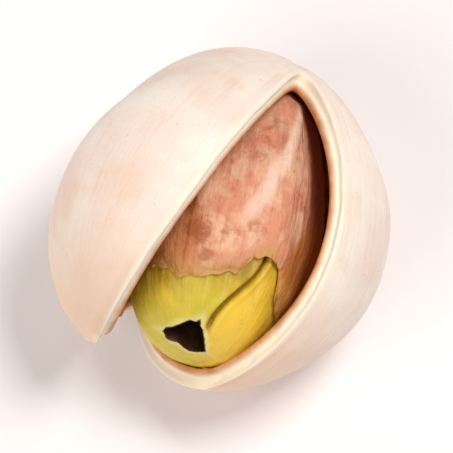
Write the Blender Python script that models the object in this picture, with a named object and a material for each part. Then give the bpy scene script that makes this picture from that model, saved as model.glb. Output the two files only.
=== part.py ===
"""A pistachio in its shell, split open, with the seed and its torn skin inside.

Local frame of the nut, before it is laid down: +X from the stem end to the tip,
+Y across to the right valve, +Z towards the mouth. All lengths are in metres.
"""
import math

import bmesh
import bpy
from mathutils import Matrix, Vector

MM = 0.001
ON_SEAM = 1e-5

# The closed shell, as it grew before it split
SHELL_LENGTH = 16.2 * MM
SHELL_HEIGHT = 13.9 * MM
SHELL_WIDTH = 14.2 * MM
SHELL_BELLY = 1.3 * MM
SHELL_FULLNESS = -0.10
STEM_BLUNTNESS = 0.90
TIP_BLUNTNESS = 1.13
SHELL_WALL = 0.85 * MM
STEM_WALL = 0.85 * MM

# The split: the valves swing about a slanted hinge line in the plane of the seam
GAPE = math.radians(45)
HINGE_MOUTH = (0.1 * MM, 3.8 * MM)
HINGE_BACK = (11.2 * MM, -6.1 * MM)
HINGE_BEND = 1.3 * MM
HINGE_SPREAD = 0.65
SWING_REACH = 9.0 * MM
SEAM_STRAY = 0.6 * MM
STRAY_START = 0.35
STRAY_FADE = 0.4
RIGHT_TIP_SHORT = 0.35 * MM
SHORT_START = 0.6
LIP_ROUND = 0.16 * MM

# Relief on the outside of the shell. A wave over a surface is written as how many go round the
# nut, how far each slants along it, its phase and its share.
SEAM_DEPTH = 0.16 * MM
SEAM_WIDTH = math.radians(7)
SCAR_RADIUS = 1.7 * MM
SCAR_DEPTH = 0.32 * MM
SWELL_DEPTH = 0.07 * MM
SWELL_WAVES = ((3, 2.2, 0.4, 1.0), (5, -4.1, 1.9, 0.6))

# The seed
SEED_LENGTH = 13.4 * MM
SEED_HEIGHT = 9.0 * MM
SEED_LEFT = 4.3 * MM
SEED_RIGHT = 3.3 * MM
SEED_BELLY = 0.6 * MM
SEED_FULLNESS = -0.12
SEED_BLUNTNESS = 0.78
SEED_CENTRE = Vector((8.1, 0.5, 0.25)) * MM
SEED_TURN = math.radians(12)
FURROW_DEPTH = 0.1 * MM
FURROW_WAVES = ((6, 0.0, 0.0, 1.0), (11, -3.0, 0.8, 0.6))
FURROW_WANDER = 0.5
RIDGE_HEIGHT = 0.2 * MM
RIDGE_TURN = math.radians(12)
RIDGE_WIDTH = math.radians(12.5)
CLEFT_DEPTH = 0.5 * MM
CLEFT_START = 0.50
CLEFT_END = 0.97
CLEFT_FADE = 0.08
CLEFT_CROWDING = 0.38
CLEFT_LEAN = ((0, 7), (110, 7), (150, -20), (180, -18))

# The three-sided hollow at the tip, where one cotyledon is shorter
HOLLOW_CENTRE = Vector((14.4, 0.38, 1.83)) * MM
HOLLOW_OUT = Vector((0.85, -0.2, 0.45))
HOLLOW_CORNER = Vector((-0.36, -0.12, 0.92))
HOLLOW_RADIUS = 1.5 * MM
HOLLOW_FLOOR_RADIUS = 0.8 * MM
HOLLOW_DEPTH = 2.4 * MM
HOLLOW_ABOVE = 1.2 * MM

# The seed skin. Its edge is a table in degrees: the turn from the mouth round the seed, and how
# far the skin reaches there from the stem pole.
SKIN_GAP = 0.18 * MM
SKIN_THICKNESS = 0.22 * MM
SKIN_EDGE = ((-180, 118), (-130, 112), (-84, 116), (-61, 124), (-31, 128), (-12, 123), (-1, 110),
             (4, 107), (10, 110), (21, 120), (32, 130), (50, 136), (90, 132), (140, 124), (180, 118))
SKIN_RAGGED = math.radians(1.5)
SKIN_WAVES = ((4, 0.0, 0.6, 1.0), (9, 0.0, 2.1, 0.7), (14, 0.0, 0.0, 0.4))

# How the nut lies: rolled towards its right valve, tip a little up, on a small flat spot
REST_ROLL = math.radians(22.3)
REST_PITCH = math.radians(-4.9)
REST_FLAT_DEPTH = 0.13 * MM

# Facets of each surface, round the nut and from end to end
SHELL_AROUND = 40
SHELL_ALONG = 28
SEED_AROUND = 36
SEED_ALONG = 24
SKIN_ALONG = 26


def clear_scene():
    """Remove every object that the file holds."""
    for item in list(bpy.data.objects):
        bpy.data.objects.remove(item, do_unlink=True)


def ramp(value):
    """Ease from 0 to 1 as value goes from 0 to 1."""
    value = min(max(value, 0.0), 1.0)
    return value * value * (3 - 2 * value)


def between(table, value):
    """Read a table of degrees, easing from each of its rows to the next; angles in and out."""
    value = math.degrees(value)
    for (low, first), (high, second) in zip(table, table[1:]):
        if value <= high:
            return math.radians(first + (second - first) * ramp((value - low) / (high - low)))
    return math.radians(table[-1][1])


def waves(table, angle, turn):
    """The sum of a table of waves at one place of a surface."""
    return sum(share * math.sin(count * turn + slant * angle + phase)
               for count, slant, phase, share in table)


def sphere_angles(point):
    """Angle from the stem pole and turn from the mouth, of a point on the unit sphere."""
    return math.acos(min(max(-point.z, -1.0), 1.0)), math.atan2(point.y, point.x)


def outline(angle, bluntness):
    """How wide the nut is at an angle from its stem pole, from 0 to 1."""
    return max(math.sin(angle), 0.0) ** bluntness


def seam_groove(turn):
    """1 on the seam of the closed shell, 0 away from it."""
    return math.exp(-(math.sin(turn) / math.sin(SEAM_WIDTH)) ** 2)


def seam_stray(reach, turn, width):
    """How far the seam on the back wanders out of the middle plane, towards the tip."""
    back = max(-math.cos(turn), 0.0) ** 2
    return SEAM_STRAY * back * ramp((reach - STRAY_START) / STRAY_FADE) * min(2 * width, 1.0)


def closed_shell(angle, turn, inner):
    """A point of the closed shell, on its outside or on its inner wall."""
    wall = SHELL_WALL if inner else 0.0
    stem = STEM_WALL if inner else 0.0
    reach = (1 - math.cos(angle)) / 2
    bluntness = STEM_BLUNTNESS + (TIP_BLUNTNESS - STEM_BLUNTNESS) * reach
    width = outline(angle, bluntness) * (1 + SHELL_FULLNESS * math.cos(angle))
    swell = SWELL_DEPTH * waves(SWELL_WAVES, angle, turn)
    lift = 0.0 if inner else swell - SEAM_DEPTH * seam_groove(turn)
    across = (SHELL_WIDTH / 2 - wall + lift) * width * math.sin(turn)
    above = (SHELL_HEIGHT / 2 - wall + lift) * width * math.cos(turn)
    across -= seam_stray(reach, turn, width)
    along = stem + (SHELL_LENGTH - stem - wall) * reach
    if not inner and reach < 0.5:
        along += SCAR_DEPTH * (1 - ramp(math.hypot(across, above) / SCAR_RADIUS))
    return Vector((along, across, above + SHELL_BELLY * math.sin(angle) ** 2))


def hinge_line():
    """A point of the hinge line, its direction, and the direction away from it."""
    mouth = Vector((HINGE_MOUTH[0], 0, HINGE_MOUTH[1]))
    back = Vector((HINGE_BACK[0], 0, HINGE_BACK[1]))
    up = (mouth - back).normalized()
    return mouth, up, Vector((up.z, 0, -up.x))


def swing(point, side):
    """Move a point of the closed shell to where its valve has swung.

    A lip turns about the hinge at once, and the flank of the valve follows over a longer way,
    so that the wall bends without a crease.
    """
    start, up, away = hinge_line()
    half = GAPE / 2
    if side > 0:
        tip_end = (point.x / SHELL_LENGTH - SHORT_START) / (1 - SHORT_START)
        point.x -= RIGHT_TIP_SHORT * ramp(tip_end)
    offset = point - start
    distance = offset.dot(away)
    if distance <= 0:
        return point
    across = side * point.y
    bend = HINGE_BEND + HINGE_SPREAD * max(across, 0.0)
    part = min(distance / bend, 1.0)
    travel = bend * (part ** 3 - part ** 4 / 2) + max(distance - bend, 0.0)
    turned = ramp(distance / SWING_REACH)
    moved = distance - (1 - math.cos(half)) * travel - across * math.sin(half) * turned
    opened = math.sin(half) * travel + across * (1 - (1 - math.cos(half)) * turned)
    flat = start + up * offset.dot(up) + away * moved
    return Vector((flat.x, side * opened, flat.z))


def beyond_hinge(point):
    """Whether a seam point of the closed shell lies where the seam has split."""
    start, up, away = hinge_line()
    return (point - start).dot(away) > HINGE_BEND / 4


def add_shell_wall(bm, inner):
    """Add one wall of the shell, slit along the seam and swung open; return its slit edges."""
    made = bmesh.ops.create_uvsphere(bm, u_segments=SHELL_AROUND, v_segments=SHELL_ALONG, radius=1.0)
    verts = set(made["verts"])
    faces = list({face for vert in verts for face in vert.link_faces})
    split = {}
    for vert in verts:
        on_seam = abs(vert.co.y) < ON_SEAM
        split[vert] = on_seam and beyond_hinge(closed_shell(*sphere_angles(vert.co), False))
    edges = {edge for vert in verts for edge in vert.link_edges}
    slit = [edge for edge in edges if split[edge.verts[0]] and split[edge.verts[1]]]
    bmesh.ops.split_edges(bm, edges=slit)
    verts = {vert for face in faces for vert in face.verts}
    sides = {}
    for vert in verts:
        middle = sum(face.calc_center_median().y for face in vert.link_faces)
        sides[vert] = 0 if abs(middle) < ON_SEAM else math.copysign(1, middle)
    for vert in verts:
        point = closed_shell(*sphere_angles(vert.co), inner)
        side = math.copysign(1, vert.co.y) if abs(vert.co.y) > ON_SEAM else sides[vert]
        vert.co = swing(point, side)
    if inner:
        bmesh.ops.reverse_faces(bm, faces=faces)
    return [edge for edge in {e for v in verts for e in v.link_edges} if edge.is_boundary]


def round_lips(bm, rungs):
    """Raise the middle of the lips, so that they are rounded and not cut square."""
    made = bmesh.ops.subdivide_edges(bm, edges=rungs, cuts=1)
    middle = [item for item in made["geom_inner"] if isinstance(item, bmesh.types.BMVert)]
    bm.normal_update()
    moves = [(vert, vert.normal.copy()) for vert in middle]
    for vert, normal in moves:
        room = ramp(abs(vert.co.y) / (4 * LIP_ROUND))
        vert.co += normal * LIP_ROUND * room


def cut_resting_spot(bm, down):
    """Flatten the lowest bit of the shell, so that the nut lies still."""
    lowest = max(bm.verts, key=lambda vert: vert.co.dot(down)).co.copy()
    geometry = list(bm.verts) + list(bm.edges) + list(bm.faces)
    made = bmesh.ops.bisect_plane(bm, geom=geometry, dist=1e-7, plane_no=down, clear_outer=True,
                                  plane_co=lowest - down * REST_FLAT_DEPTH)
    rim = [item for item in made["geom_cut"] if isinstance(item, bmesh.types.BMEdge)]
    bmesh.ops.holes_fill(bm, edges=rim, sides=0)


def finish_object(bm, name, surface):
    """Turn the bmesh into a named object with its own material, shaded smooth."""
    bmesh.ops.triangulate(bm, faces=[face for face in bm.faces if len(face.verts) > 3])
    mesh = bpy.data.meshes.new(name)
    bm.to_mesh(mesh)
    bm.free()
    mesh.shade_smooth()
    mesh.set_sharp_from_angle(angle=math.radians(50))
    mesh.materials.append(surface)
    item = bpy.data.objects.new(name, mesh)
    bpy.context.collection.objects.link(item)
    return item


def make_shell(down):
    """The hard shell: two valves, still one piece at the stem end."""
    bm = bmesh.new()
    rims = add_shell_wall(bm, False) + add_shell_wall(bm, True)
    made = bmesh.ops.bridge_loops(bm, edges=rims)
    round_lips(bm, made["edges"])
    cut_resting_spot(bm, down)
    bmesh.ops.recalc_face_normals(bm, faces=bm.faces)
    return finish_object(bm, "shell", material("ivory_shell", (0.86, 0.70, 0.52), 0.55))


def seed_cleft(angle, turn):
    """1 on the line where the cotyledons meet, over the bare half of the seed, and 0 beside it."""
    on_line = 1.0 if abs(math.sin(turn)) < ON_SEAM and math.cos(turn) > 0 else 0.0
    reach = (1 - math.cos(angle)) / 2
    begun = ramp((reach - CLEFT_START) / CLEFT_FADE)
    return on_line * begun * ramp((CLEFT_END - reach) / CLEFT_FADE)


def seed_furrows(angle, turn):
    """A long ridge and shallow wrinkles that run from the stem end to the tip."""
    wander = FURROW_WANDER * math.sin(2 * angle)
    ridge = RIDGE_HEIGHT * math.exp(-((turn - RIDGE_TURN - wander / 5) / RIDGE_WIDTH) ** 2)
    wrinkles = FURROW_DEPTH * waves(FURROW_WAVES, angle, turn + wander / 3)
    return (ridge + wrinkles) * math.sin(angle) ** 2


def seed_point(angle, turn, grow, cleft):
    """A point of the seed's surface, sunk by a cleft, or of one that stands off by grow."""
    width = outline(angle, SEED_BLUNTNESS) * (1 + SEED_FULLNESS * math.cos(angle))
    lift = grow + seed_furrows(angle, turn) - cleft
    half = SEED_RIGHT if math.sin(turn) > 0 else SEED_LEFT
    across = (half + lift) * width * math.sin(turn)
    above = (SEED_HEIGHT / 2 + lift) * width * math.cos(turn) + SEED_BELLY * math.sin(angle) ** 2
    along = -(SEED_LENGTH / 2 + grow) * math.cos(angle)
    return SEED_CENTRE + Matrix.Rotation(SEED_TURN, 3, "Z") @ Vector((along, across, above))


def make_seed():
    """The seed: two cotyledons, grown together, with a cleft between them at the tip."""
    bm = bmesh.new()
    bmesh.ops.create_uvsphere(bm, u_segments=SEED_AROUND, v_segments=SEED_ALONG, radius=1.0)
    for vert in bm.verts:
        angle, turn = sphere_angles(vert.co)
        crowded = turn - CLEFT_CROWDING * math.sin(2 * turn)
        crowded += between(CLEFT_LEAN, angle) * ramp(math.cos(turn))
        vert.co = seed_point(angle, crowded, 0.0, CLEFT_DEPTH * seed_cleft(angle, turn))
    bmesh.ops.recalc_face_normals(bm, faces=bm.faces)
    return finish_object(bm, "kernel", material("green_seed", (0.58, 0.45, 0.06), 0.5))


def make_hollow_cutter():
    """The three-sided taper that the hollow at the seed's tip is cut with."""
    bm = bmesh.new()
    depth = HOLLOW_DEPTH + HOLLOW_ABOVE
    slope = (HOLLOW_RADIUS - HOLLOW_FLOOR_RADIUS) / HOLLOW_DEPTH
    bmesh.ops.create_cone(bm, cap_ends=True, segments=3, radius1=HOLLOW_FLOOR_RADIUS,
                          radius2=HOLLOW_FLOOR_RADIUS + slope * depth, depth=depth)
    out = HOLLOW_OUT.normalized()
    across = HOLLOW_CORNER.cross(out).normalized()
    turned = Matrix((across, out.cross(across), out)).transposed().to_4x4()
    middle = HOLLOW_CENTRE + out * (depth / 2 - HOLLOW_DEPTH)
    bmesh.ops.transform(bm, verts=bm.verts, matrix=Matrix.Translation(middle) @ turned)
    bmesh.ops.recalc_face_normals(bm, faces=bm.faces)
    cutter = finish_object(bm, "hollow_cutter", material("cutter", (0.5, 0.5, 0.5), 0.5))
    cutter.hide_render = True
    cutter.display_type = "WIRE"
    return cutter


def cut_hollow(seed, cutter):
    """Cut the hollow out of the seed's tip."""
    cut = seed.modifiers.new("hollow", "BOOLEAN")
    cut.operation = "DIFFERENCE"
    cut.object = cutter
    cut.solver = "EXACT"


def skin_edge(turn):
    """How far the skin reaches towards the tip, as an angle from the stem pole."""
    return between(SKIN_EDGE, turn) + SKIN_RAGGED * waves(SKIN_WAVES, 0.0, turn)


def add_skin_wall(bm, grow, inner):
    """Add one wall of the skin, an open cup round the seed; return its rim."""
    made = bmesh.ops.create_uvsphere(bm, u_segments=SEED_AROUND, v_segments=SKIN_ALONG, radius=1.0)
    verts = [vert for vert in made["verts"] if vert.co.z > 1e-5]
    bmesh.ops.delete(bm, geom=verts, context="VERTS")
    verts = [vert for vert in made["verts"] if vert.is_valid]
    faces = list({face for vert in verts for face in vert.link_faces})
    for vert in verts:
        angle, turn = sphere_angles(vert.co)
        crowded = turn - CLEFT_CROWDING * math.sin(2 * turn)
        vert.co = seed_point(angle / (math.pi / 2) * skin_edge(crowded), crowded, grow, 0.0)
    if inner:
        bmesh.ops.reverse_faces(bm, faces=faces)
    return [edge for edge in {e for v in verts for e in v.link_edges} if edge.is_boundary]


def make_skin():
    """The papery seed skin, torn back from the tip."""
    bm = bmesh.new()
    rims = add_skin_wall(bm, SKIN_GAP + SKIN_THICKNESS, False) + add_skin_wall(bm, SKIN_GAP, True)
    bmesh.ops.bridge_loops(bm, edges=rims)
    bmesh.ops.recalc_face_normals(bm, faces=bm.faces)
    return finish_object(bm, "kernel_skin", material("seed_skin", (0.55, 0.29, 0.20), 0.6))


def material(name, colour, roughness):
    """A plain material of one colour."""
    surface = bpy.data.materials.new(name)
    surface.use_nodes = True
    shader = surface.node_tree.nodes["Principled BSDF"]
    shader.inputs["Base Color"].default_value = (*colour, 1.0)
    shader.inputs["Roughness"].default_value = roughness
    shader.inputs["Metallic"].default_value = 0.0
    surface.diffuse_color = (*colour, 1.0)
    return surface


def resting_turn():
    """The rotation that lays the nut down, with its tip towards -Y and its mouth up."""
    upright = Matrix(((0, 1, 0), (-1, 0, 0), (0, 0, 1)))
    return Matrix.Rotation(REST_PITCH, 3, "X") @ Matrix.Rotation(REST_ROLL, 3, "Y") @ upright


def lay_down(items, shell, turn):
    """Hold the pieces by one empty, turned to rest with the shell's lowest face at height 0."""
    points = [turn @ vert.co for vert in shell.data.vertices]
    low = Vector([min(point[axis] for point in points) for axis in range(3)])
    high = Vector([max(point[axis] for point in points) for axis in range(3)])
    holder = bpy.data.objects.new("nut_holder", None)
    bpy.context.collection.objects.link(holder)
    holder.rotation_euler = turn.to_euler()
    holder.location = (-(low.x + high.x) / 2, -(low.y + high.y) / 2, -low.z)
    for item in items:
        item.parent = holder


def main():
    """Build the nut and lay it down."""
    clear_scene()
    turn = resting_turn()
    down = turn.transposed() @ Vector((0, 0, -1))
    shell = make_shell(down)
    seed = make_seed()
    cutter = make_hollow_cutter()
    cut_hollow(seed, cutter)
    skin = make_skin()
    lay_down([shell, seed, skin, cutter], shell, turn)


main()
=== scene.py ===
# %% [markdown]
# # A pistachio in its split shell
#
# The nut lies on its side with its mouth up. Three things show: the hard ivory shell, split along
# its seam into two valves; the seed, bare and yellow-green at its tip; and the papery seed skin,
# torn back from that tip. The solids of the part give each of them its form and place. This lesson
# gives them their finer surface, their colour and their light, inside the same box.

# %% Load the solids
import math

import bpy
from mathutils import Matrix, Vector, noise
from mathutils.bvhtree import BVHTree


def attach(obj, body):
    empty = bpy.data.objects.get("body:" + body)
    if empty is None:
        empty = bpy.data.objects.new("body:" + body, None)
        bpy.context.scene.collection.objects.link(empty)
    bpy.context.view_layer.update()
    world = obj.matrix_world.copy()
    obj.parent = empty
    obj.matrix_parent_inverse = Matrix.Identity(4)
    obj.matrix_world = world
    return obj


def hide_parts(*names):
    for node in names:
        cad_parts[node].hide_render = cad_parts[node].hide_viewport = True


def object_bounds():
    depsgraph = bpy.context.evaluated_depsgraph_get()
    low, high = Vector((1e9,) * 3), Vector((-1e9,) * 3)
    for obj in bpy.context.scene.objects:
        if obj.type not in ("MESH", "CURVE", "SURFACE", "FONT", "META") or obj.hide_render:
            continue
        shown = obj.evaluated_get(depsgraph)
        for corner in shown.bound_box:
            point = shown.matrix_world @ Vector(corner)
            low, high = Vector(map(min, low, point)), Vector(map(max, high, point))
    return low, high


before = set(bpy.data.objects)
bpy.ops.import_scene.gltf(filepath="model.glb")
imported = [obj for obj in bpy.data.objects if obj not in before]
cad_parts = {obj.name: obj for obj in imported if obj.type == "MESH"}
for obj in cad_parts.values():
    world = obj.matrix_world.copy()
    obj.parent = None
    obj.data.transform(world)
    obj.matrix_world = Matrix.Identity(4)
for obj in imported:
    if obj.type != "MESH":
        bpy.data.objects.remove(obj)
cad_box = [list(corner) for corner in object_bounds()]
MM = 0.001
print("CAD box, mm:", [[round(value / MM, 2) for value in corner] for corner in cad_box])

# %% [markdown]
# A nut grows about a line from its stem end to its tip, and its markings follow that line, not the
# floor. So the lesson needs the nut's own directions: along it from stem to tip, across it to the
# right valve, and out of its mouth. They are the ones that the solids were drawn in before the nut
# was laid down, so the same place and turn lead back to them.

# %% The nut's own directions
SHELL_LENGTH = 16.2
NUT_PLACE = Vector((-0.5667, 7.8908, 4.8291)) * MM
REST_ROLL = math.radians(22.3)
REST_PITCH = math.radians(-4.9)
UPRIGHT = Matrix(((0, 1, 0), (-1, 0, 0), (0, 0, 1)))
LAID = Matrix.Rotation(REST_PITCH, 3, "X") @ Matrix.Rotation(REST_ROLL, 3, "Y") @ UPRIGHT
FREE = LAID.transposed()


def in_nut(point):
    """A point of the row's frame, in millimetres along, across and out of the nut."""
    return FREE @ (point - NUT_PLACE) / MM


def ramp(value, low=0.0, high=1.0):
    """Ease from 0 at low to 1 at high."""
    value = min(max((value - low) / (high - low), 0.0), 1.0)
    return value * value * (3 - 2 * value)


tip = LAID @ Vector((SHELL_LENGTH * MM, 0, 0)) + NUT_PLACE
print("the tip lies at, mm:", [round(value / MM, 2) for value in tip])

# %% [markdown]
# The valves once met along the seam. To run the grain of the shell from the stem to the tip, each
# point is swung back to where it was before the shell split. The swing is the one that opened the
# solids: about a slanted line through the stem scar, in the plane of the seam, by half the gape to
# each side. Then a place on the shell is known by how far along the nut it is, and how far round.

# %% Swing the valves back
HALF_GAPE = math.radians(45) / 2
HINGE = Vector((0.1, 0.0, 3.8))
HINGE_UP = (HINGE - Vector((11.2, 0.0, -6.1))).normalized()
HINGE_AWAY = Vector((HINGE_UP.z, 0.0, -HINGE_UP.x))
HINGE_REACH = 3.0
SHELL_BELLY = 1.3


def closed(spot):
    """Where a spot of the open shell, in millimetres of the nut, lay in the closed shell."""
    away = (spot - HINGE).dot(HINGE_AWAY)
    rise = (spot - HINGE).dot(HINGE_UP)
    if away <= 0:
        return spot
    turn = HALF_GAPE * ramp(away / HINGE_REACH)
    aside = abs(spot.y)
    back = away * math.cos(turn) + aside * math.sin(turn)
    aside = aside * math.cos(turn) - away * math.sin(turn)
    flat = HINGE + HINGE_UP * rise + HINGE_AWAY * back
    return Vector((flat.x, math.copysign(max(aside, 0.0), spot.y), flat.z))


def round_the_nut(spot):
    """How far round the nut a spot is, from the mouth."""
    along = min(max(spot.x / SHELL_LENGTH, 0.0), 1.0)
    belly = SHELL_BELLY * 4 * along * (1 - along)
    return math.atan2(spot.y, spot.z - belly)


print("the tip of the left valve swings back to, mm:",
      [round(value, 2) for value in closed(Vector((15.0, -5.0, 0.0)))])

# %% [markdown]
# Each piece starts as a copy of its solid. A solid comes in as loose triangles, so a copy is merged
# into one skin first, and its pairs of triangles are joined back into four-sided faces, because a
# subdivision surface rounds those evenly. Modelling the nut again from a sphere would also work,
# but then its lips and tip could drift from the solids that carry it.

# %% Copy a solid
MERGE = 0.001 * MM
PAIRING = math.radians(60)


def copy_of_solid(node, name):
    """A piece of its own, copied from a CAD node, merged and in four-sided faces."""
    bpy.ops.object.select_all(action="DESELECT")
    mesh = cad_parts[node].data.copy()
    mesh.materials.clear()
    piece = bpy.data.objects.new(name, mesh)
    bpy.context.collection.objects.link(piece)
    bpy.context.view_layer.objects.active = piece
    piece.select_set(True)
    bpy.ops.mesh.customdata_custom_splitnormals_clear()
    bpy.ops.object.mode_set(mode="EDIT")
    bpy.ops.mesh.select_all(action="SELECT")
    bpy.ops.mesh.remove_doubles(threshold=MERGE)
    bpy.ops.mesh.tris_convert_to_quads(face_threshold=PAIRING, shape_threshold=PAIRING)
    bpy.ops.object.mode_set(mode="OBJECT")
    sides = [len(face.vertices) for face in mesh.polygons]
    print(f"{name}: {len(mesh.vertices)} points, {sides.count(3)} triangles,"
          f" {sides.count(4)} four-sided faces")
    return piece


shell = copy_of_solid("shell", "split_shell")
seed = copy_of_solid("kernel", "bare_kernel")
skin = copy_of_solid("kernel_skin", "torn_skin")

# %% [markdown]
# A real shell is hard and smooth, but it is never a turned shape: it has shallow lengthwise
# striations, a few soft dents, and wavy lips where the seam tore. A subdivision surface rounds the
# copy's facets. Then the surface is pushed in and out along its normals by small amounts, as a
# sculptor would do with a light brush. The amounts come from smooth noise, so each run is the same.

# %% Round the facets and push the surface
def work_on(piece):
    """Select one piece alone, so that an operator acts on nothing else."""
    bpy.ops.object.select_all(action="DESELECT")
    bpy.context.view_layer.objects.active = piece
    piece.select_set(True)


def crease(piece, chosen, amount):
    """Hold the chosen edges of a piece, so that rounding leaves them crisp."""
    work_on(piece)
    bpy.ops.object.mode_set(mode="EDIT")
    bpy.ops.mesh.select_mode(type="EDGE")
    bpy.ops.mesh.select_all(action="DESELECT")
    bpy.ops.object.mode_set(mode="OBJECT")
    piece.data.edges.foreach_set("select", chosen)
    bpy.ops.object.mode_set(mode="EDIT")
    bpy.ops.transform.edge_crease(value=amount)
    bpy.ops.object.mode_set(mode="OBJECT")
    print(piece.name, "creased edges:", sum(chosen))


def subdivide(piece, levels):
    """Round a piece with a subdivision surface and apply it."""
    work_on(piece)
    rounding = piece.modifiers.new("rounding", "SUBSURF")
    rounding.levels = levels
    rounding.render_levels = levels
    bpy.ops.object.modifier_apply(modifier=rounding.name)
    bpy.ops.object.shade_smooth()


def push(piece, heights):
    """Move each point along its normal by its height, in millimetres."""
    moves = [vert.normal * height * MM for vert, height in zip(piece.data.vertices, heights)]
    for vert, move in zip(piece.data.vertices, moves):
        vert.co += move
    piece.data.update()


def spots(piece):
    """Each point of a piece, in millimetres of the nut."""
    return [in_nut(vert.co) for vert in piece.data.vertices]


def store(piece, name, values):
    """Keep one number for each point, for later steps and for the materials."""
    layer = piece.data.attributes.get(name) or piece.data.attributes.new(name, "FLOAT", "POINT")
    layer.data.foreach_set("value", values)


def stored(piece, name):
    """The numbers that store() kept."""
    layer = piece.data.attributes[name]
    values = [0.0] * len(layer.data)
    layer.data.foreach_get("value", values)
    return values


def keep_in_box(piece):
    """Hold a piece inside the box of the solids, and so above the floor."""
    low, high = cad_box
    for vert in piece.data.vertices:
        vert.co = Vector([min(max(vert.co[axis], low[axis]), high[axis]) for axis in range(3)])
    piece.data.update()


def wave(spot, size, start=0.0):
    """Smooth noise from about -1 to 1, with swells of a size in millimetres, begun at a start."""
    return noise.noise(spot / size + Vector((start, 1.7 * start, -start)))


def bump(distance, width):
    """A round bump: 1 at no distance, nearly 0 at twice the width."""
    return math.exp(-(distance / width) ** 2)


print("a swell of 3 mm at the origin:", round(wave(Vector((1, 2, 3)), 3.0), 3))

# %% [markdown]
# Before the shell's copy is rounded, each of its points is told where it is in the wall: 0 outside,
# 1 inside and a half on a lip. A second number marks the points beside a lip. The rounding blends
# both, which gives soft lines across and along each lip for the finish to follow.

# %% Tell the outside, the inside and the lips apart
SEED_MIDDLE = Vector((8.1, 0.5, 0.25))
FACING = 0.25


def wall_depths(piece):
    """For each point 0 on the outside, 1 on the inside and 0.5 on a lip."""
    depths = []
    for vert, spot in zip(piece.data.vertices, spots(piece)):
        facing = (FREE @ vert.normal).dot((spot - SEED_MIDDLE).normalized())
        depths.append(0.0 if facing > FACING else 1.0 if facing < -FACING else 0.5)
    return depths


def beside(piece, chosen):
    """For each point 1 if it is chosen or an edge away from a chosen one, or else 0."""
    near = [float(value) for value in chosen]
    for edge in piece.data.edges:
        first, second = edge.vertices
        if chosen[first] or chosen[second]:
            near[first] = near[second] = 1.0
    return near


depths = wall_depths(shell)
store(shell, "depth", depths)
store(shell, "lip", beside(shell, [depth == 0.5 for depth in depths]))
print("outside, lip, inside:", depths.count(0.0), depths.count(0.5), depths.count(1.0))

# %% [markdown]
# The relief of the shell, from large to small: dents of a few millimetres, striations that run from
# stem to tip, a rough sunken scar where the stalk sat, and lips that waver and swell a little
# inwards. Where the valves still hold together, at the stem end and along the back, the seam shows
# as a fine groove. The flat spot that the nut rests on stays flat, and the inside stays smooth, as
# the seed grew against it.

# %% Give the shell its relief
LIP_CREASE = 0.36
DENT = 0.05
DENT_SIZE = 3.4
STRIATION = 0.022
STRIATION_WIDTH = 0.5
STRIATED_FROM = (0.5, 2.5)
STRETCH = 0.10
LIP_WAVER = 0.09
LONG_WAVER = 1.3
SHORT_WAVER = 0.55
LIP_SWELL = 0.22
SCAR = 0.14
SCAR_GRAIN = 0.45
SCAR_SUNK = 0.6
SCAR_RADIUS = 1.3
SCAR_RING = 0.03
RING_WIDTH = 0.5
STEM_END = (1.0, 1.8)
SEAM_DEPTH = 0.07
SEAM_WIDTH = 0.42
SEAM_STRAY = 0.6
STRAYS_FROM = (0.35, 0.75)
NUT_RADIUS = 7.0
END_RADIUS = 2.2
FLAT_SPOT = 0.25


def rim_edges(piece):
    """For each edge of the shell's copy, whether it runs along the rim of one of the walls."""
    depth = stored(piece, "depth")
    lip = stored(piece, "lip")
    return [lip[first] * lip[second] > 0 and depth[first] == depth[second] != 0.5
            for first, second in (edge.vertices for edge in piece.data.edges)]


def grain(spot):
    """A place whose noise runs lengthwise: round the nut at full size, along it stretched."""
    before = closed(spot)
    turn = round_the_nut(before)
    radius = NUT_RADIUS * ramp(math.hypot(before.y, before.z), 0.0, END_RADIUS)
    return Vector((math.cos(turn) * radius, math.sin(turn) * radius, spot.x * STRETCH))


def seam_at(spot, depth, lip):
    """1 on the outside of the seam where it is still closed, and 0 away from it."""
    before = closed(spot)
    back = max(-math.cos(round_the_nut(before)), 0.0) ** 2
    stray = SEAM_STRAY * back * ramp(before.x / SHELL_LENGTH, *STRAYS_FROM)
    return bump(before.y - stray, SEAM_WIDTH) * (1 - lip) * (1 - ramp(depth, 0.0, 0.5))


def shell_height(spot, depth, lip, above_floor):
    """How far one point of the shell is pushed out."""
    outside = 1 - ramp(depth, 0.0, 0.5)
    striated = STRIATION * wave(grain(spot), STRIATION_WIDTH) * ramp(spot.x, *STRIATED_FROM)
    dented = DENT * wave(spot, DENT_SIZE, 5.0)
    aside = math.hypot(spot.y, spot.z)
    scarred = SCAR * (wave(spot, SCAR_GRAIN, 2.0) - SCAR_SUNK) * (1 - ramp(aside, 0.8, SCAR_RADIUS))
    scarred += SCAR_RING * bump(aside - SCAR_RADIUS, RING_WIDTH)
    on_stem = 1 - ramp(spot.x, *STEM_END)
    wavering = LIP_WAVER * (wave(spot, LONG_WAVER, 9.0) + 0.5 * wave(spot, SHORT_WAVER, 3.0))
    on_lip = 4 * depth * (1 - depth)
    swollen = LIP_SWELL * ramp(depth, 0.5, 1.0) * lip * lip
    seamed = -SEAM_DEPTH * seam_at(spot, depth, lip) * ramp(aside, 0.9, 1.6)
    height = (outside * (striated + dented + scarred * on_stem)
              + on_lip * lip * wavering + swollen + seamed)
    return height * ramp(above_floor, 0.05, FLAT_SPOT)


def shell_heights(piece):
    """How far each point of the shell is pushed out."""
    above = [vert.co.z / MM for vert in piece.data.vertices]
    places = zip(spots(piece), stored(piece, "depth"), stored(piece, "lip"), above)
    return [shell_height(*place) for place in places]


crease(shell, rim_edges(shell), LIP_CREASE)
subdivide(shell, 2)
heights = shell_heights(shell)
push(shell, heights)
keep_in_box(shell)
print("shell pushed by, mm:", round(min(heights), 3), "to", round(max(heights), 3))

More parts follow.
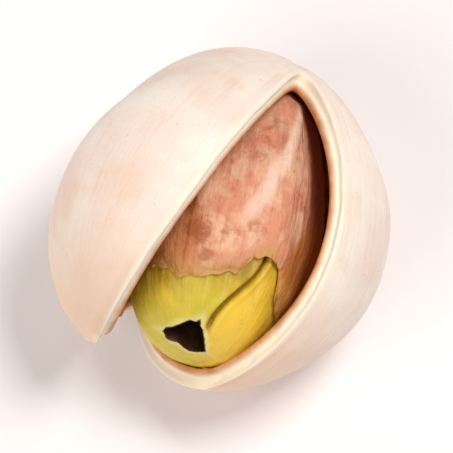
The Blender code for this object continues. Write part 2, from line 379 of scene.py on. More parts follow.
# %% [markdown]
# The finishes of the shell need to know where on the nut they are, without a camera or a picture:
# how far along it, how far from the stalk's scar, how near the closed seam, and which way the grain
# runs. Each point keeps all four.

# %% Keep the shell's grain
SCAR_REACH = 1.5


def store_grain(piece, places):
    """Keep for each point a place whose noise runs lengthwise."""
    layer = piece.data.attributes.new("grain", "FLOAT_VECTOR", "POINT")
    layer.data.foreach_set("vector", [value for place in places for value in place])


def from_stalk(spot):
    """How far a spot of the shell is from the scar of the stalk, in millimetres."""
    return math.hypot(spot.y, spot.z) + max(spot.x - SCAR_REACH, 0.0)


store(shell, "along", [spot.x for spot in spots(shell)])
store(shell, "from_stalk", [from_stalk(spot) for spot in spots(shell)])
rows = zip(spots(shell), stored(shell, "depth"), stored(shell, "lip"))
store(shell, "seam", [seam_at(*row) for row in rows])
store_grain(shell, [grain(spot) for spot in spots(shell)])
print("the shell keeps", ", ".join(layer.name for layer in shell.data.attributes))

# %% [markdown]
# The seed is two cotyledons, pressed together. Their meeting line is a narrow cleft, and one of
# them is a little shorter, which leaves a three-sided hollow at the tip. To find both, a point is
# read in the seed's own turned frame, as an angle from its stem end and a turn round it. The
# hollow is a three-sided taper, so a point's distance from it is the largest of three distances.

# %% Find the cleft and the hollow of the seed
SEED_TURN = Matrix.Rotation(math.radians(12), 3, "Z").transposed()
SEED_LENGTH = 13.4
SEED_HEIGHT = 9.0
SEED_LEFT = 4.3
SEED_RIGHT = 3.3
SEED_BELLY = 0.6
SEED_BLUNTNESS = 0.78
SEED_FULLNESS = 0.12
CLEFT_TURN = 7
CLEFT_LEAN = 27
CLEFT_WIDTH = 0.13
CLEFT_START = (92, 104)
CLEFT_END = (146, 160)
HOLLOW_CENTRE = Vector((14.4, 0.38, 1.83))
HOLLOW_OUT = Vector((0.85, -0.2, 0.45)).normalized()
HOLLOW_ACROSS = Vector((-0.36, -0.12, 0.92)).cross(HOLLOW_OUT).normalized()
HOLLOW_UP = HOLLOW_OUT.cross(HOLLOW_ACROSS)
HOLLOW_RADIUS = 1.5
HOLLOW_TAPER = (1.5 - 0.8) / 2.4
HOLLOW_SIDES = [math.radians(degrees) for degrees in (30, 150, 270)]


def in_seed(spot):
    """A spot of the nut, in millimetres of the seed: along, across and above its middle line."""
    place = SEED_TURN @ (spot - SEED_MIDDLE)
    reach = min(abs(2 * place.x / SEED_LENGTH), 1.0)
    return Vector((place.x, place.y, place.z - SEED_BELLY * (1 - reach * reach)))


def from_seed(place):
    """The spot of the nut that in_seed() read."""
    reach = min(abs(2 * place.x / SEED_LENGTH), 1.0)
    level = Vector((place.x, place.y, place.z + SEED_BELLY * (1 - reach * reach)))
    return SEED_TURN.transposed() @ level + SEED_MIDDLE


def half_width(place):
    """Half the seed's width, on the side of a place."""
    return SEED_RIGHT if place.y > 0 else SEED_LEFT


def on_seed(place):
    """In degrees, the angle of a place from the stem end and its turn round from the mouth."""
    reach = min(max(2 * place.x / SEED_LENGTH, -1.0), 1.0)
    turn = math.atan2(place.y / half_width(place), 2 * place.z / SEED_HEIGHT)
    return math.degrees(math.acos(-reach)), math.degrees(turn)


def out_of_seed(place):
    """The direction straight out of the seed, in the row's frame."""
    out = Vector((4 * place.x / SEED_LENGTH ** 2, place.y / half_width(place) ** 2,
                  4 * place.z / SEED_HEIGHT ** 2))
    return LAID @ SEED_TURN.transposed() @ out.normalized()


def from_cleft(place):
    """How far a place is from the line where the cotyledons meet; more than 0 on the right."""
    angle, turn = on_seed(place)
    line = CLEFT_TURN - CLEFT_LEAN * ramp(angle, 110, 150)
    return math.radians(turn - line) * math.hypot(place.y, place.z)


def cleft(place):
    """1 on the line where the cotyledons meet, on the bare end of the seed, and 0 away from it."""
    angle = on_seed(place)[0]
    begun = ramp(angle, *CLEFT_START)
    return bump(from_cleft(place), CLEFT_WIDTH) * begun * (1 - ramp(angle, *CLEFT_END))


def from_hollow(spot):
    """How far outside the hollow's three sides a spot is."""
    offset = spot - HOLLOW_CENTRE
    radius = HOLLOW_RADIUS + HOLLOW_TAPER * offset.dot(HOLLOW_OUT)
    across, above = offset.dot(HOLLOW_ACROSS), offset.dot(HOLLOW_UP)
    reaches = [across * math.cos(side) + above * math.sin(side) for side in HOLLOW_SIDES]
    return max(reaches) - radius / 2


print("from the hollow's middle to its sides, mm:", round(from_hollow(HOLLOW_CENTRE), 2))

# %% [markdown]
# The solid's hollow was cut with a Boolean, which leaves long thin triangles that don't round well.
# A voxel remesh lays an even net of small faces over the copy. Then each point of the net, outside
# the hollow, is moved onto the seed's full, smooth shape: near the tip along the seed, elsewhere
# straight out from its middle line. The same could be done by smoothing, but that shrinks a seed
# and fills its hollow. Only along the cleft, where the net had followed the solid's groove down and
# up again, the points are first evened out, so that none of its faces stay folded.

# %% Lay an even net over the seed
NET = 0.08
EVEN_ROUNDS = 14
EVEN_REACH = 0.5
EVEN_FROM = 86
EVEN_MARGIN = 0.15
TIP_REACH = (0.80, 0.92)
STEM_REACH = (-0.90, -0.70)
HALVINGS = 18


def girth_at(reach):
    """How wide the seed is, as a share, at a reach along it from -1 to 1."""
    return max(1 - reach * reach, 0.0) ** (SEED_BLUNTNESS / 2) * (1 + SEED_FULLNESS * reach)


def reach_at(girth):
    """How far along the seed its tip is as wide as a girth, found by halving."""
    low, high = 0.6, 1.0
    for halving in range(HALVINGS):
        middle = (low + high) / 2
        if girth_at(middle) > girth:
            low = middle
        else:
            high = middle
    return (low + high) / 2


def smoothed(spot):
    """A spot of the seed's surface, moved onto the seed's full shape unless it is in the hollow."""
    place = in_seed(spot)
    reach = 2 * place.x / SEED_LENGTH
    share = ramp(from_hollow(spot), 0.03, 0.25) * ramp(reach, *STEM_REACH)
    girth = math.hypot(place.y / half_width(place), 2 * place.z / SEED_HEIGHT)
    if share == 0 or girth == 0:
        return spot
    wider = girth_at(reach) / girth
    outward = Vector((place.x, place.y * wider, place.z * wider))
    onward = Vector((reach_at(girth) * SEED_LENGTH / 2, place.y, place.z))
    full = outward.lerp(onward, ramp(reach, *TIP_REACH))
    return spot.lerp(from_seed(full), share)


def along_cleft(spot):
    """Whether a spot of the seed lies along its cleft, and not in the hollow."""
    place = in_seed(spot)
    beside_line = abs(from_cleft(place)) < EVEN_REACH and on_seed(place)[0] > EVEN_FROM
    return beside_line and from_hollow(spot) > EVEN_MARGIN


def even_out(piece, chosen, rounds):
    """Move each chosen point to the middle of its neighbours, round after round."""
    edges = [tuple(edge.vertices) for edge in piece.data.edges]
    edges = [(first, second) for first, second in edges if first in chosen or second in chosen]
    neighbours = {index: [] for index in chosen}
    for first, second in edges:
        for here, there in ((first, second), (second, first)):
            if here in neighbours:
                neighbours[here].append(there)
    for count in range(rounds):
        places = [vert.co.copy() for vert in piece.data.vertices]
        for index, near in neighbours.items():
            middle = sum((places[other] for other in near), Vector()) / len(near)
            piece.data.vertices[index].co = middle


def fill_out(piece):
    """Move each point of the seed's net onto the seed's full shape."""
    for vert in piece.data.vertices:
        vert.co = LAID @ smoothed(in_nut(vert.co)) * MM + NUT_PLACE
    piece.data.update()


work_on(seed)
seed.data.remesh_voxel_size = NET * MM
bpy.ops.object.voxel_remesh()
bpy.ops.object.shade_smooth()
fill_out(seed)
groove = {index for index, spot in enumerate(spots(seed)) if along_cleft(spot)}
even_out(seed, groove, EVEN_ROUNDS)
fill_out(seed)
print("points evened out along the cleft:", len(groove))
print("points in the seed's net:", len(seed.data.vertices))

# %% [markdown]
# The bare seed is waxy and finely wrinkled lengthwise from drying. The cleft is sunk as a sharp
# line and its two edges swell a little, as they do on the real seed. The hollow's rim rolls in,
# wanders a little, and is drawn inward at its three corners, so that they end blunt.

# %% Give the seed its relief
SEED_RADIUS = 4.0
FURROW = 0.06
WRINKLE = 0.03
WRINKLE_LENGTH = 0.35
LONG_WRINKLE = 0.8
SHORT_WRINKLE = 0.35
LUMP = 0.05
LUMP_SIZE = 1.7
BARE_FROM = (104, 116)
CLEFT_DEPTH = 0.42
CLEFT_SWELL = 0.06
SWELL_ASIDE = 0.34
SWELL_WIDTH = 0.17
RIM_ROLL = 0.07
ROLL_WIDTH = 0.14
HOLLOW_WAVE = 0.7
HOLLOW_WANDER = 0.13
WANDER_STARTS = (11.0, 17.0, 23.0)
RIM_WIDTH = 0.45
CORNER = (1.0, 1.5)
CORNER_DRAWN = 0.25
HOLLOW_EDGE = (0.02, 0.09)
# where the painted highlight lies beside the hollow's rim
HIGHLIGHT_ASIDE = 0.14
HIGHLIGHT_FADE = 0.16


def seed_grain(place):
    """A place whose noise runs lengthwise on the seed."""
    turn = math.radians(on_seed(place)[1])
    return Vector((math.cos(turn) * SEED_RADIUS, math.sin(turn) * SEED_RADIUS, place.x * STRETCH))


def furrows(place):
    """Long shallow furrows, as in the solid."""
    angle, turn = on_seed(place)
    return FURROW * math.sin(math.radians(6 * turn)) * math.sin(math.radians(angle)) ** 2


def seed_height(place, outside):
    """How far one point of the seed is pushed out."""
    streak = Vector((place.x * WRINKLE_LENGTH, place.y, place.z))
    wrinkles = wave(streak, LONG_WRINKLE, 4.0) + 0.6 * wave(streak, SHORT_WRINKLE, 7.0)
    wrinkled = WRINKLE * wrinkles
    lumpy = LUMP * wave(place, LUMP_SIZE, 6.0)
    angle = on_seed(place)[0]
    bare_end = ramp(angle, *BARE_FROM) * (1 - ramp(angle, *CLEFT_END))
    swollen = CLEFT_SWELL * bump(abs(from_cleft(place)) - SWELL_ASIDE, SWELL_WIDTH) * bare_end
    rolled = RIM_ROLL * bump(outside, ROLL_WIDTH)
    relief = furrows(place) + wrinkled + lumpy + swollen - CLEFT_DEPTH * cleft(place) - rolled
    return relief * ramp(outside, 0.0, 0.1)


def rim_drawn(spot, distance):
    """How far and which way the hollow's rim is moved at a spot, in millimetres of the nut."""
    offset = spot - HOLLOW_CENTRE
    inward = HOLLOW_OUT * offset.dot(HOLLOW_OUT) - offset
    drawn = inward.normalized() * CORNER_DRAWN * ramp(inward.length, *CORNER)
    wandered = Vector([wave(spot, HOLLOW_WAVE, start) for start in WANDER_STARTS])
    return (drawn + wandered * HOLLOW_WANDER) * bump(distance, RIM_WIDTH)


places = [in_seed(spot) for spot in spots(seed)]
outside = [from_hollow(spot) for spot in spots(seed)]
drawn = [rim_drawn(*row) for row in zip(spots(seed), outside)]
# painted shade: 1 in the hollow, where its near-black colour is painted
store(seed, "hollow", [1 - ramp(distance, *HOLLOW_EDGE) for distance in outside])
# painted highlight: a pale band just outside the hollow's rim
store(seed, "hollow_rim_highlight", [bump(max(distance - HIGHLIGHT_ASIDE, 0), HIGHLIGHT_FADE) for distance in outside])
store(seed, "cleft", [cleft(place) for place in places])
store(seed, "cleft_side", [from_cleft(place) for place in places])
store(seed, "seed_angle", [on_seed(place)[0] for place in places])
store_grain(seed, [seed_grain(place) for place in places])
for vert, place, distance, moved in zip(seed.data.vertices, places, outside, drawn):
    vert.co += (out_of_seed(place) * seed_height(place, distance) + LAID @ moved) * MM
seed.data.update()
inside = sum(distance < HOLLOW_EDGE[0] for distance in outside)
print("points in the hollow:", inside, "of", len(outside))

# %% [markdown]
# The seed skin is as thin as paper. It dried round the seed, so it is puckered into fine ridges
# that mostly run lengthwise, with one long fold on the side of the mouth, and its right side swells
# towards the shell. Where it was torn from the tip its edge is ragged. Its solid is thicker than
# the real skin and stands clear of the seed, so both of its walls are drawn down to the seed along
# that edge, where the thickness would show. Last, points that went into the seed are lifted off it.

# %% Give the skin its wrinkles and its torn edge
SKIN_PUCKER = 0.085
PUCKER_LENGTH = 0.28
LONG_PUCKER = 0.9
SHORT_PUCKER = 0.42
SKIN_CREASE = 0.04
CREASE_SIZE = 0.5
FOLD_HEIGHT = 0.17
FOLD_WIDTH = 7
FOLD_TURN = 22
FOLD_SLANT = 0.65
FOLD_START = (25, 45)
FOLD_END = (92, 112)
CHEEK = 0.28
CHEEK_TURN = 72
CHEEK_WIDTH = 34
CHEEK_START = (15, 50)
CHEEK_END = (95, 125)
RAGGED = 0.6
LARGE_NIBBLE = 0.9
SMALL_NIBBLE = 0.4
OUTER_DRAWN = 0.25
INNER_DRAWN = 0.06
CLEARANCE = 0.03 * MM


def skin_walls(piece):
    """For each point of the skin's copy, 0 on the outer wall and 1 on the wall next to the seed."""
    return [0.0 if (FREE @ vert.normal).dot((spot - SEED_MIDDLE).normalized()) > 0 else 1.0
            for vert, spot in zip(piece.data.vertices, spots(piece))]


def rim_points(piece, walls):
    """For each point of the skin's copy 1 if an edge joins it to the other wall."""
    rim = [0.0] * len(walls)
    for edge in piece.data.edges:
        first, second = edge.vertices
        if walls[first] != walls[second]:
            rim[first] = rim[second] = 1.0
    return rim


def long_fold(place):
    """1 on the skin's long fold, which slants over the side of the mouth, and 0 away from it."""
    angle, turn = on_seed(place)
    line = FOLD_TURN - FOLD_SLANT * (angle - FOLD_START[1]) + 3 * wave(place, 1.5, 4.0)
    begun = ramp(angle, *FOLD_START)
    return bump(turn - line, FOLD_WIDTH) * begun * (1 - ramp(angle, *FOLD_END))


def cheek(place):
    """1 in the middle of the skin's swollen right side, and 0 away from it."""
    angle, turn = on_seed(place)
    begun = ramp(angle, *CHEEK_START)
    return bump(turn - CHEEK_TURN, CHEEK_WIDTH) * begun * (1 - ramp(angle, *CHEEK_END))


def skin_height(place, depth, rim):
    """How far one point of the skin is pushed out."""
    streak = Vector((place.x * PUCKER_LENGTH, place.y, place.z))
    puckers = wave(streak, LONG_PUCKER, 1.0) + 0.6 * wave(streak, SHORT_PUCKER, 2.0)
    puckered = SKIN_PUCKER * puckers
    creased = SKIN_CREASE * wave(place, CREASE_SIZE, 8.0)
    folded = FOLD_HEIGHT * long_fold(place)
    swollen = CHEEK * cheek(place)
    return (1 - depth) * (1 - rim) * (puckered + creased + folded + swollen)


def tear(piece):
    """Draw the rim down to the seed, and pull it back and forth so that it looks torn."""
    rows = zip(piece.data.vertices, stored(piece, "depth"), stored(piece, "rim"), spots(piece))
    for vert, depth, rim, spot in rows:
        drawn = rim * (OUTER_DRAWN + (INNER_DRAWN - OUTER_DRAWN) * depth)
        nibbled = 0.6 * wave(spot, LARGE_NIBBLE, 3.0) + 0.4 * wave(spot, SMALL_NIBBLE, 5.0)
        ragged = rim * rim * RAGGED * nibbled
        vert.co += LAID @ Vector((ragged * MM, 0, 0)) - out_of_seed(in_seed(spot)) * drawn * MM
    piece.data.update()


def lift_off(piece, other, clearance):
    """Move the points of a piece that touch another piece, or lie in it, just out of it."""
    faces = [face.vertices for face in other.data.polygons]
    tree = BVHTree.FromPolygons([vert.co for vert in other.data.vertices], faces)
    lifted = 0
    for vert in piece.data.vertices:
        near, normal = tree.find_nearest(vert.co)[:2]
        if (vert.co - near).dot(normal) < clearance:
            vert.co = near + normal * clearance
            lifted += 1
    piece.data.update()
    return lifted


walls = skin_walls(skin)
store(skin, "depth", walls)
store(skin, "rim", rim_points(skin, walls))
subdivide(skin, 3)
places = [in_seed(spot) for spot in spots(skin)]
heights = [skin_height(*row) for row in zip(places, stored(skin, "depth"), stored(skin, "rim"))]
push(skin, heights)
tear(skin)
lifted = [lift_off(piece, seed, CLEARANCE) for piece in (skin, shell)]
print("points of the skin and of the shell lifted off the seed:", lifted)
print("skin pushed by, mm:", round(min(heights), 3), "to", round(max(heights), 3))

# %% [markdown]
# The skin's colours follow places on it that are found here, once: the long fold, the right flank
# where shade is painted, its browned left side, and a few brown blots where it stuck to the shell.
# Each blot is listed, as an angle from the stem end, a turn from the mouth, and a size in
# millimetres.

# %% Keep where the skin's marks are
FLANK_SHADE_TURN = (26, 46)
FLANK_SHADE_SLANT = 0.7
FLANK_SHADE_FROM = 90
LEFT_TURN = (22, 50)
LEFT_ANGLE = (84, 104)
BLOTS = ((107, -39, 0.75), (110, -34, 0.45), (121, -62, 0.7), (117, -30, 0.5), (96, -46, 0.5))


def flank_shade_at(place):
    """Painted shade: 0 over the mouth to 1 on the right flank, which begins sooner towards the tip.
    """
    angle, turn = on_seed(place)
    return ramp(turn + FLANK_SHADE_SLANT * max(angle - FLANK_SHADE_FROM, 0), *FLANK_SHADE_TURN)


def left_at(place):
    """1 on the skin's left side near its torn edge, where it browned against the shell."""
    angle, turn = on_seed(place)
    return ramp(-turn, *LEFT_TURN) * ramp(angle, *LEFT_ANGLE)


def blot_at(place):
    """How near a place of the skin is to the middle of a blot, from 0 to 1."""
    angle, turn = on_seed(place)
    radius = math.hypot(place.y, place.z)
    nearest = 0.0
    for blot_angle, blot_turn, size in BLOTS:
        aside = math.radians(turn - blot_turn) * radius
        along = math.radians(angle - blot_angle) * SEED_LENGTH / 2
        nearest = max(nearest, bump(math.hypot(aside, along), size))
    return nearest


store(skin, "fold", [long_fold(place) for place in places])
# painted shade: how far into the shaded right flank each point is
store(skin, "flank", [flank_shade_at(place) for place in places])
store(skin, "left", [left_at(place) for place in places])
store(skin, "blot", [blot_at(place) for place in places])
store(skin, "seed_angle", [on_seed(place)[0] for place in places])
store_grain(skin, [seed_grain(place) for place in places])
print("the skin keeps", ", ".join(layer.name for layer in skin.data.attributes))

# %% [markdown]
# Each finish is built from nodes. To read like sums, one small class wraps a socket: adding or
# multiplying two wires adds the Math node that does it. Every other node comes from one method that
# is given the node's type, its settings and what goes into its sockets.

# %% A small language for finishes
class Wire:
    """One output of a node, whose sums and products add Math nodes."""

    def __init__(self, finish, socket):
        self.finish = finish
        self.socket = socket

    def maths(self, operation, first, second):
        return self.finish.node("ShaderNodeMath", {"operation": operation}, {0: first, 1: second})

    def __add__(self, other):
        return self.maths("ADD", self, other)

    def __sub__(self, other):
        return self.maths("SUBTRACT", self, other)

    def __rsub__(self, other):
        return self.maths("SUBTRACT", other, self)

    def __mul__(self, other):
        return self.maths("MULTIPLY", self, other)

    __radd__ = __add__
    __rmul__ = __mul__


class Finish:
    """A material for one piece of the nut."""

    def __init__(self, name):
        self.material = bpy.data.materials.new(name)
        self.material.use_nodes = True
        self.tree = self.material.node_tree
        self.shader = self.tree.nodes["Principled BSDF"]

    def join(self, socket, value):
        """Put a number, a colour or another node's output into a socket."""
        if isinstance(value, Wire):
            self.tree.links.new(value.socket, socket)
        else:
            socket.default_value = value

    def node(self, kind, settings, sockets, output=0):
        """Add a node: its settings first, then the values or links of its sockets."""
        made = self.tree.nodes.new(kind)
        for name, value in settings.items():
            setattr(made, name, value)
        for name, value in sockets.items():
            self.join(made.inputs[name], value)
        return Wire(self, made.outputs[output])

    def set(self, **values):
        """Fill the shader's own sockets; an underscore in a name stands for a space."""
        for name, value in values.items():
            self.join(self.shader.inputs[name.replace("_", " ")], value)


print("sums of wires are ready")

# %% [markdown]
# The same few steps come back in all three finishes: a number that a piece keeps, noise of a size
# in millimetres, a soft threshold, one colour laid over another, and fine relief that is too small
# for the mesh. Colours are written as they look on a screen, from 0 to 255, and turned into light.

# %% Steps that the finishes share
FULL = 255
MIX_SHARE = 0
MIX_UNDER = 6
MIX_UPPER = 7
MIX_COLOUR = 2


def colour(red, green, blue):
    """A colour as it looks on a screen, as the light that the shader works with."""
    return tuple(((value / FULL + 0.055) / 1.055) ** 2.4 for value in (red, green, blue)) + (1.0,)


def kept(finish, name):
    """A number that the piece keeps for each point."""
    return finish.node("ShaderNodeAttribute", {"attribute_name": name}, {}, "Fac")


def kept_place(finish, name):
    """A place that the piece keeps for each point, in millimetres."""
    return finish.node("ShaderNodeAttribute", {"attribute_name": name}, {}, "Vector")


def nut_place(finish):
    """A place on the piece, in millimetres."""
    place = finish.node("ShaderNodeTexCoord", {}, {}, "Object")
    return finish.node("ShaderNodeMapping", {}, {"Vector": place, "Scale": (1 / MM,) * 3})


def grit(finish, place, size, detail=3.0, rough=0.55):
    """Noise from 0 to 1, with swells of a size in millimetres."""
    return finish.node("ShaderNodeTexNoise", {}, {"Vector": place, "Scale": 1 / size,
                                                  "Detail": detail, "Roughness": rough})


def step(finish, value, low, high):
    """Ease from 0 at low to 1 at high."""
    return finish.node("ShaderNodeMapRange", {"interpolation_type": "SMOOTHSTEP"},
                       {"Value": value, "From Min": low, "From Max": high})


def over(finish, share, under, upper):
    """One colour laid over another by a share."""
    return finish.node("ShaderNodeMix", {"data_type": "RGBA"},
                       {MIX_SHARE: share, MIX_UNDER: under, MIX_UPPER: upper}, MIX_COLOUR)


def fine_relief(finish, height, depth):
    """A normal for relief of a depth in millimetres."""
    return finish.node("ShaderNodeBump", {}, {"Strength": 1.0, "Distance": depth * MM,
                                              "Height": height})


print("ivory as light:", [round(value, 3) for value in colour(250, 230, 208)])

# %% [markdown]
# The shell is ivory with a faint pink blush, peach at its tip, and tan to brown about the scar of
# the stalk. Soft stains, fine lengthwise fibres and small tan pits break it up, and the closed seam
# is a little darker. The lips are cream, where the broken edge shows, and the inside is a warm
# brown. Light goes a little way into it, which softens its shadows, so it gets a touch of
# subsurface scattering.

# %% The ivory shell's finish
IVORY = colour(253, 240, 226)
BLUSH = colour(250, 228, 214)
PEACH = colour(246, 208, 174)
TAN = colour(224, 186, 146)
STEM_BROWN = colour(176, 122, 78)
CREAM = colour(255, 243, 220)
PIT = colour(206, 166, 130)
INSIDE = colour(232, 174, 122)
INSIDE_DARK = colour(200, 134, 84)


def shell_colour(finish):
    """Ivory, blushed and stained, with cream lips and a brown inside."""
    place = nut_place(finish)
    fibres = grit(finish, kept_place(finish, "grain"), 0.32, 4.0)
    blushed = over(finish, step(finish, grit(finish, place, 3.2), 0.36, 0.64), IVORY, BLUSH)
    patches = step(finish, grit(finish, place, 4.6, 3.0), 0.48, 0.68)
    warmed = over(finish, patches * 0.5, blushed, PEACH)
    stains = step(finish, grit(finish, place, 1.9, 5.0, 0.62), 0.58, 0.78)
    stained = over(finish, stains * 0.4, warmed, TAN)
    fibred = over(finish, step(finish, fibres, 0.50, 0.74) * 0.22, stained, TAN)
    pits = step(finish, grit(finish, place, 0.22, 1.0), 0.71, 0.79)
    pitted = over(finish, pits * 0.4, fibred, PIT)
    seamed = over(finish, step(finish, kept(finish, "seam"), 0.2, 0.9) * 0.35, pitted, TAN)
    at_tip = step(finish, kept(finish, "along") + grit(finish, place, 1.3) * 2.5, 11.8, 16.4)
    tipped = over(finish, at_tip * 0.65, seamed, PEACH)
    by_stalk = kept(finish, "from_stalk") + grit(finish, place, 0.9, 5.0, 0.6) * 3.2
    tanned = over(finish, (1 - step(finish, by_stalk, 2.2, 5.2)) * 0.55, tipped, TAN)
    browned = over(finish, (1 - step(finish, by_stalk, 2.2, 3.3)) * 0.75, tanned, STEM_BROWN)
    lipped = over(finish, step(finish, kept(finish, "lip"), 0.35, 0.95) * 0.85, browned, CREAM)
    clouds = step(finish, grit(finish, place, 1.1, 4.0), 0.35, 0.70)
    inner = over(finish, clouds, INSIDE, INSIDE_DARK)
    return over(finish, step(finish, kept(finish, "depth"), 0.62, 0.92), lipped, inner)


def shell_relief(finish):
    """Fibres and pits that are finer than the mesh."""
    fibres = grit(finish, kept_place(finish, "grain"), 0.16, 5.0)
    pits = grit(finish, nut_place(finish), 0.12, 2.0)
    return fine_relief(finish, fibres * 0.7 + pits * 0.3, 0.05)


ivory = Finish("ivory_shell")
ivory.set(Base_Color=shell_colour(ivory), Normal=shell_relief(ivory),
          Roughness=0.46 + grit(ivory, nut_place(ivory), 0.6) * 0.16,
          Subsurface_Weight=0.12, Subsurface_Scale=0.6 * MM, Subsurface_Radius=(1.0, 0.6, 0.4))
shell.data.materials.append(ivory.material)
print("ivory shell:", len(ivory.tree.nodes), "nodes")

# %% [markdown]
# The bare seed is golden on one cotyledon and yellow-green on the other, olive next to its skin,
# with pale lengthwise veins. Painted shade darkens the cleft and fills the hollow almost black, and
# a painted highlight lies pale along the hollow's rim. A waxy sheen comes from a lower roughness.

# %% The seed's finish
GOLD = colour(250, 206, 62)
YELLOW_GREEN = colour(208, 192, 48)
OLIVE = colour(166, 120, 14)
VEIN = colour(244, 222, 112)
RIM_HIGHLIGHT = colour(236, 224, 140)
RUST = colour(196, 132, 48)
CLEFT_SHADE = colour(150, 112, 14)
HOLLOW_SHADE = colour(66, 38, 14)


def seed_colour(finish):
    """Golden on the right and yellow-green on the left, with painted shade in the cleft and hollow.
    """
    place = nut_place(finish)
    long_grain = kept_place(finish, "grain")
    right = step(finish, kept(finish, "cleft_side"), -0.6, 0.6)
    sides = over(finish, right * 0.85 + 0.1, YELLOW_GREEN, GOLD)
    mottles = step(finish, grit(finish, place, 1.5, 4.0), 0.46, 0.70)
    mottled = over(finish, mottles * 0.6, sides, GOLD)
    from_stem = kept(finish, "seed_angle") + grit(finish, place, 1.2, 4.0) * 22
    near_skin = 1 - step(finish, from_stem, 128, 148)
    shaded = over(finish, near_skin * (0.9 - right * 0.6), mottled, OLIVE)
    veins = step(finish, grit(finish, long_grain, 0.34, 5.0), 0.50, 0.72)
    veined = over(finish, veins * 0.3, shaded, VEIN)
    rust = step(finish, grit(finish, place, 0.8, 5.0, 0.65), 0.60, 0.78)
    rusted = over(finish, rust * 0.4, veined, RUST)
    # painted highlight: the hollow's rim is coloured pale
    rim_highlighted = over(finish, kept(finish, "hollow_rim_highlight") * 0.8, rusted, RIM_HIGHLIGHT)
    # painted shade: the cleft between the cotyledons is coloured dark
    in_cleft = step(finish, kept(finish, "cleft"), 0.10, 0.75)
    cleft_shaded = over(finish, in_cleft * 0.85, rim_highlighted, CLEFT_SHADE)
    # painted shade: the hollow is coloured almost black, as shadow would fill it
    return over(finish, step(finish, kept(finish, "hollow"), 0.2, 0.8), cleft_shaded, HOLLOW_SHADE)


def seed_relief(finish):
    """Wrinkles that are finer than the mesh."""
    wrinkles = grit(finish, kept_place(finish, "grain"), 0.20, 5.0)
    grains = grit(finish, nut_place(finish), 0.16, 3.0)
    return fine_relief(finish, wrinkles * 0.6 + grains * 0.4, 0.08)


green = Finish("green_seed")
green.set(Base_Color=seed_colour(green), Normal=seed_relief(green),
          Roughness=0.38 + grit(green, nut_place(green), 0.5) * 0.2,
          Subsurface_Weight=0.15, Subsurface_Scale=0.5 * MM, Subsurface_Radius=(1.0, 0.8, 0.2))
seed.data.materials.append(green.material)
print("green seed:", len(green.tree.nodes), "nodes")

# %% [markdown]
# The skin is pink-brown and mottled. Its long fold was rubbed pale against the shell, its creases
# stayed dark, brown blots lie on it, and shade is painted red-brown on its right flank. Toward
# the torn edge it is thinner and yellower, as the seed shines through. It is dry, so it is rougher
# than the seed.

# %% The seed skin's finish
PINK = colour(226, 150, 116)
SALMON = colour(240, 186, 150)
MAUVE = colour(196, 118, 94)
PALE = colour(250, 214, 190)
BLOT_BROWN = colour(176, 94, 48)
RED_BROWN = colour(140, 64, 40)
ORANGE_BROWN = colour(198, 118, 52)
THIN_GOLD = colour(206, 152, 70)


def skin_colour(finish):
    """Pink-brown, with a pale fold, brown blots, painted shade on the right flank and a thin golden
    edge.
    """
    place = nut_place(finish)
    long_grain = kept_place(finish, "grain")
    base = over(finish, step(finish, grit(finish, place, 1.4, 4.0), 0.40, 0.62), PINK, SALMON)
    streaks = step(finish, grit(finish, long_grain, 0.8, 5.0), 0.50, 0.70)
    mauve = over(finish, streaks * 0.5, base, MAUVE)
    browned = step(finish, grit(finish, place, 1.1, 6.0, 0.68), 0.53, 0.68) * 0.6
    stuck = kept(finish, "left") + grit(finish, place, 1.0, 5.0, 0.6) - 0.5
    oranged = over(finish, step(finish, stuck, 0.2, 0.9) * 0.75, mauve, ORANGE_BROWN)
    patched = over(finish, browned, oranged, BLOT_BROWN)
    ragged_blot = kept(finish, "blot") * 0.8 + grit(finish, place, 0.6, 6.0, 0.7) * 1.6
    blotted = over(finish, step(finish, ragged_blot, 1.1, 1.5) * 0.8, patched, BLOT_BROWN)
    folded = over(finish, step(finish, kept(finish, "fold"), 0.35, 0.95) * 0.75, blotted, PALE)
    # painted shade on the right flank: red-brown towards the stem, orange-brown towards the tip
    low = step(finish, kept(finish, "seed_angle"), 80, 104)
    flank = over(finish, low, RED_BROWN, ORANGE_BROWN)
    ragged_flank_shade = kept(finish, "flank") + grit(finish, long_grain, 0.8, 4.0) * 0.5
    flank_shaded = over(finish, step(finish, ragged_flank_shade, 0.30, 0.85) * 0.92, folded, flank)
    creases = step(finish, grit(finish, long_grain, 0.26, 5.0), 0.54, 0.74)
    creased = over(finish, creases * 0.35, flank_shaded, RED_BROWN)
    near_edge = kept(finish, "seed_angle") + grit(finish, place, 1.0, 5.0, 0.6) * 18
    thinned = over(finish, step(finish, near_edge, 121, 134) * 0.5, creased, THIN_GOLD)
    return over(finish, step(finish, kept(finish, "rim"), 0.3, 1.0) * 0.55, thinned, THIN_GOLD)


def skin_relief(finish):
    """Creases that are finer than the mesh."""
    creases = grit(finish, kept_place(finish, "grain"), 0.2, 6.0)
    crumple = grit(finish, nut_place(finish), 0.24, 4.0)
    return fine_relief(finish, creases * 0.6 + crumple * 0.4, 0.16)


papery = Finish("seed_skin")
papery.set(Base_Color=skin_colour(papery), Normal=skin_relief(papery),
           Roughness=0.50 + grit(papery, nut_place(papery), 0.5) * 0.2,
           Subsurface_Weight=0.1, Subsurface_Scale=0.3 * MM, Subsurface_Radius=(1.0, 0.4, 0.25))
skin.data.materials.append(papery.material)
print("seed skin:", len(papery.tree.nodes), "nodes")

# %% [markdown]
# Each piece now stands for its solid. It rides on the part's one body and hides the solid that it
# was copied from.

# %% Let the pieces stand for the solids
for piece, node in ((shell, "shell"), (seed, "kernel"), (skin, "kernel_skin")):
    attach(piece, "root")
    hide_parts(node)
    bare = [len(piece.data.polygons), len(piece.data.vertices)]
    print(piece.name, "stands for", node, "with faces and points", bare)

# %% [markdown]
# The nut lies on a plain white surface. A large plane is enough, with the faintest unevenness in
# its white, and a warm tone that lets the shadow under the nut turn soft and pinkish.

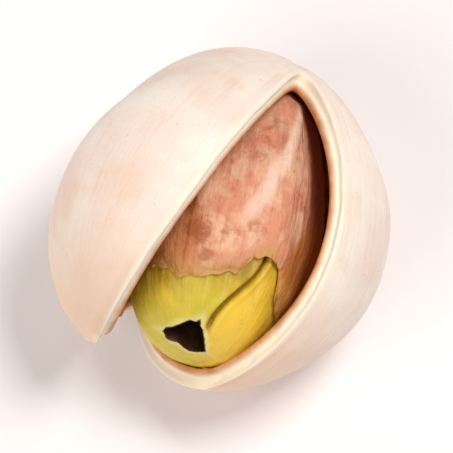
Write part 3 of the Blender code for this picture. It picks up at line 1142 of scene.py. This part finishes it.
# %% The white surface
FLOOR_SIZE = 0.6
UNEVENNESS = 30.0
WARM_WHITE = colour(250, 246, 245)
GREYER_WHITE = colour(246, 240, 240)

bpy.ops.object.select_all(action="DESELECT")
bpy.ops.mesh.primitive_plane_add(size=FLOOR_SIZE)
floor = bpy.context.active_object
floor.name = "white_surface"
white = Finish("white_surface")
shades = grit(white, nut_place(white), UNEVENNESS)
white.set(Base_Color=over(white, shades, WARM_WHITE, GREYER_WHITE), Roughness=0.6)
floor.data.materials.append(white.material)
print("surface across, mm:", round(floor.dimensions.x / MM))

# %% [markdown]
# The photograph looks down on the nut, which leans on its neighbours with its tip down. Here it
# lies alone, so it has settled with its tip higher, and the camera is raised by as much to see the
# same side of it. The lens is long, as the nut is a small part of a larger picture, and it frames
# the nut as a close crop would.

# %% The camera
AZIMUTH = math.radians(21.5)
ELEVATION = math.radians(74)
LENS = 600
SENSOR = 36
FRAME_WIDTH = 20.6 * MM
AIM = LAID @ Vector((7.95, 0, 0)) * MM + NUT_PLACE
AIM_RIGHT = 0.41
AIM_DOWN = 0.47


def towards(azimuth, elevation):
    """A direction from the nut, from its azimuth and its elevation."""
    level = math.cos(elevation)
    return Vector((math.sin(azimuth) * level, -math.cos(azimuth) * level, math.sin(elevation)))


def face(thing, place, direction):
    """Put a camera or light at a place, looking against a direction."""
    thing.location = place
    thing.rotation_mode = "QUATERNION"
    thing.rotation_quaternion = direction.to_track_quat("Z", "Y")


back = towards(AZIMUTH, ELEVATION)
right = Vector((math.cos(AZIMUTH), math.sin(AZIMUTH), 0))
up = back.cross(right)
aim = AIM + right * AIM_RIGHT * MM - up * AIM_DOWN * MM
bpy.ops.object.camera_add()
camera = bpy.context.active_object
camera.data.lens = LENS
camera.data.sensor_width = SENSOR
camera.data.clip_start = 1 * MM
face(camera, aim + back * FRAME_WIDTH * LENS / SENSOR, back)
bpy.context.scene.camera = camera
print("camera stands off, mm:", round((camera.location - aim).length / MM))

# %% [markdown]
# The light is that of a product table: bright and soft, with one pale shadow. A lamp stands high,
# behind and to the right, so the shadow falls towards the viewer's left. A broad fill from the
# front left and a pale surround keep that shadow light.

# %% The lights
SURROUND_TINT = (1.0, 0.955, 0.95, 1.0)
SURROUND_STRENGTH = 0.36


def lamp(name, azimuth, elevation, distance, size, power, tint):
    """A square studio lamp that faces the nut."""
    direction = towards(math.radians(azimuth), math.radians(elevation))
    bpy.ops.object.light_add(type="AREA")
    light = bpy.context.active_object
    light.name = name
    light.data.size = size
    light.data.energy = power
    light.data.color = tint
    face(light, aim + direction * distance, direction)
    print(name, "at", round(distance / MM), "mm")


lamp("key_lamp", azimuth=140, elevation=66, distance=0.30, size=0.10, power=0.54,
     tint=(1.0, 0.985, 0.97))
lamp("fill_lamp", azimuth=-30, elevation=44, distance=0.35, size=0.24, power=0.50,
     tint=(1.0, 0.98, 0.965))
surround = bpy.data.worlds.new("pale_surround")
surround.use_nodes = True
background = surround.node_tree.nodes["Background"]
background.inputs["Color"].default_value = SURROUND_TINT
background.inputs["Strength"].default_value = SURROUND_STRENGTH
bpy.context.scene.world = surround
bpy.context.scene.view_settings.view_transform = "Standard"
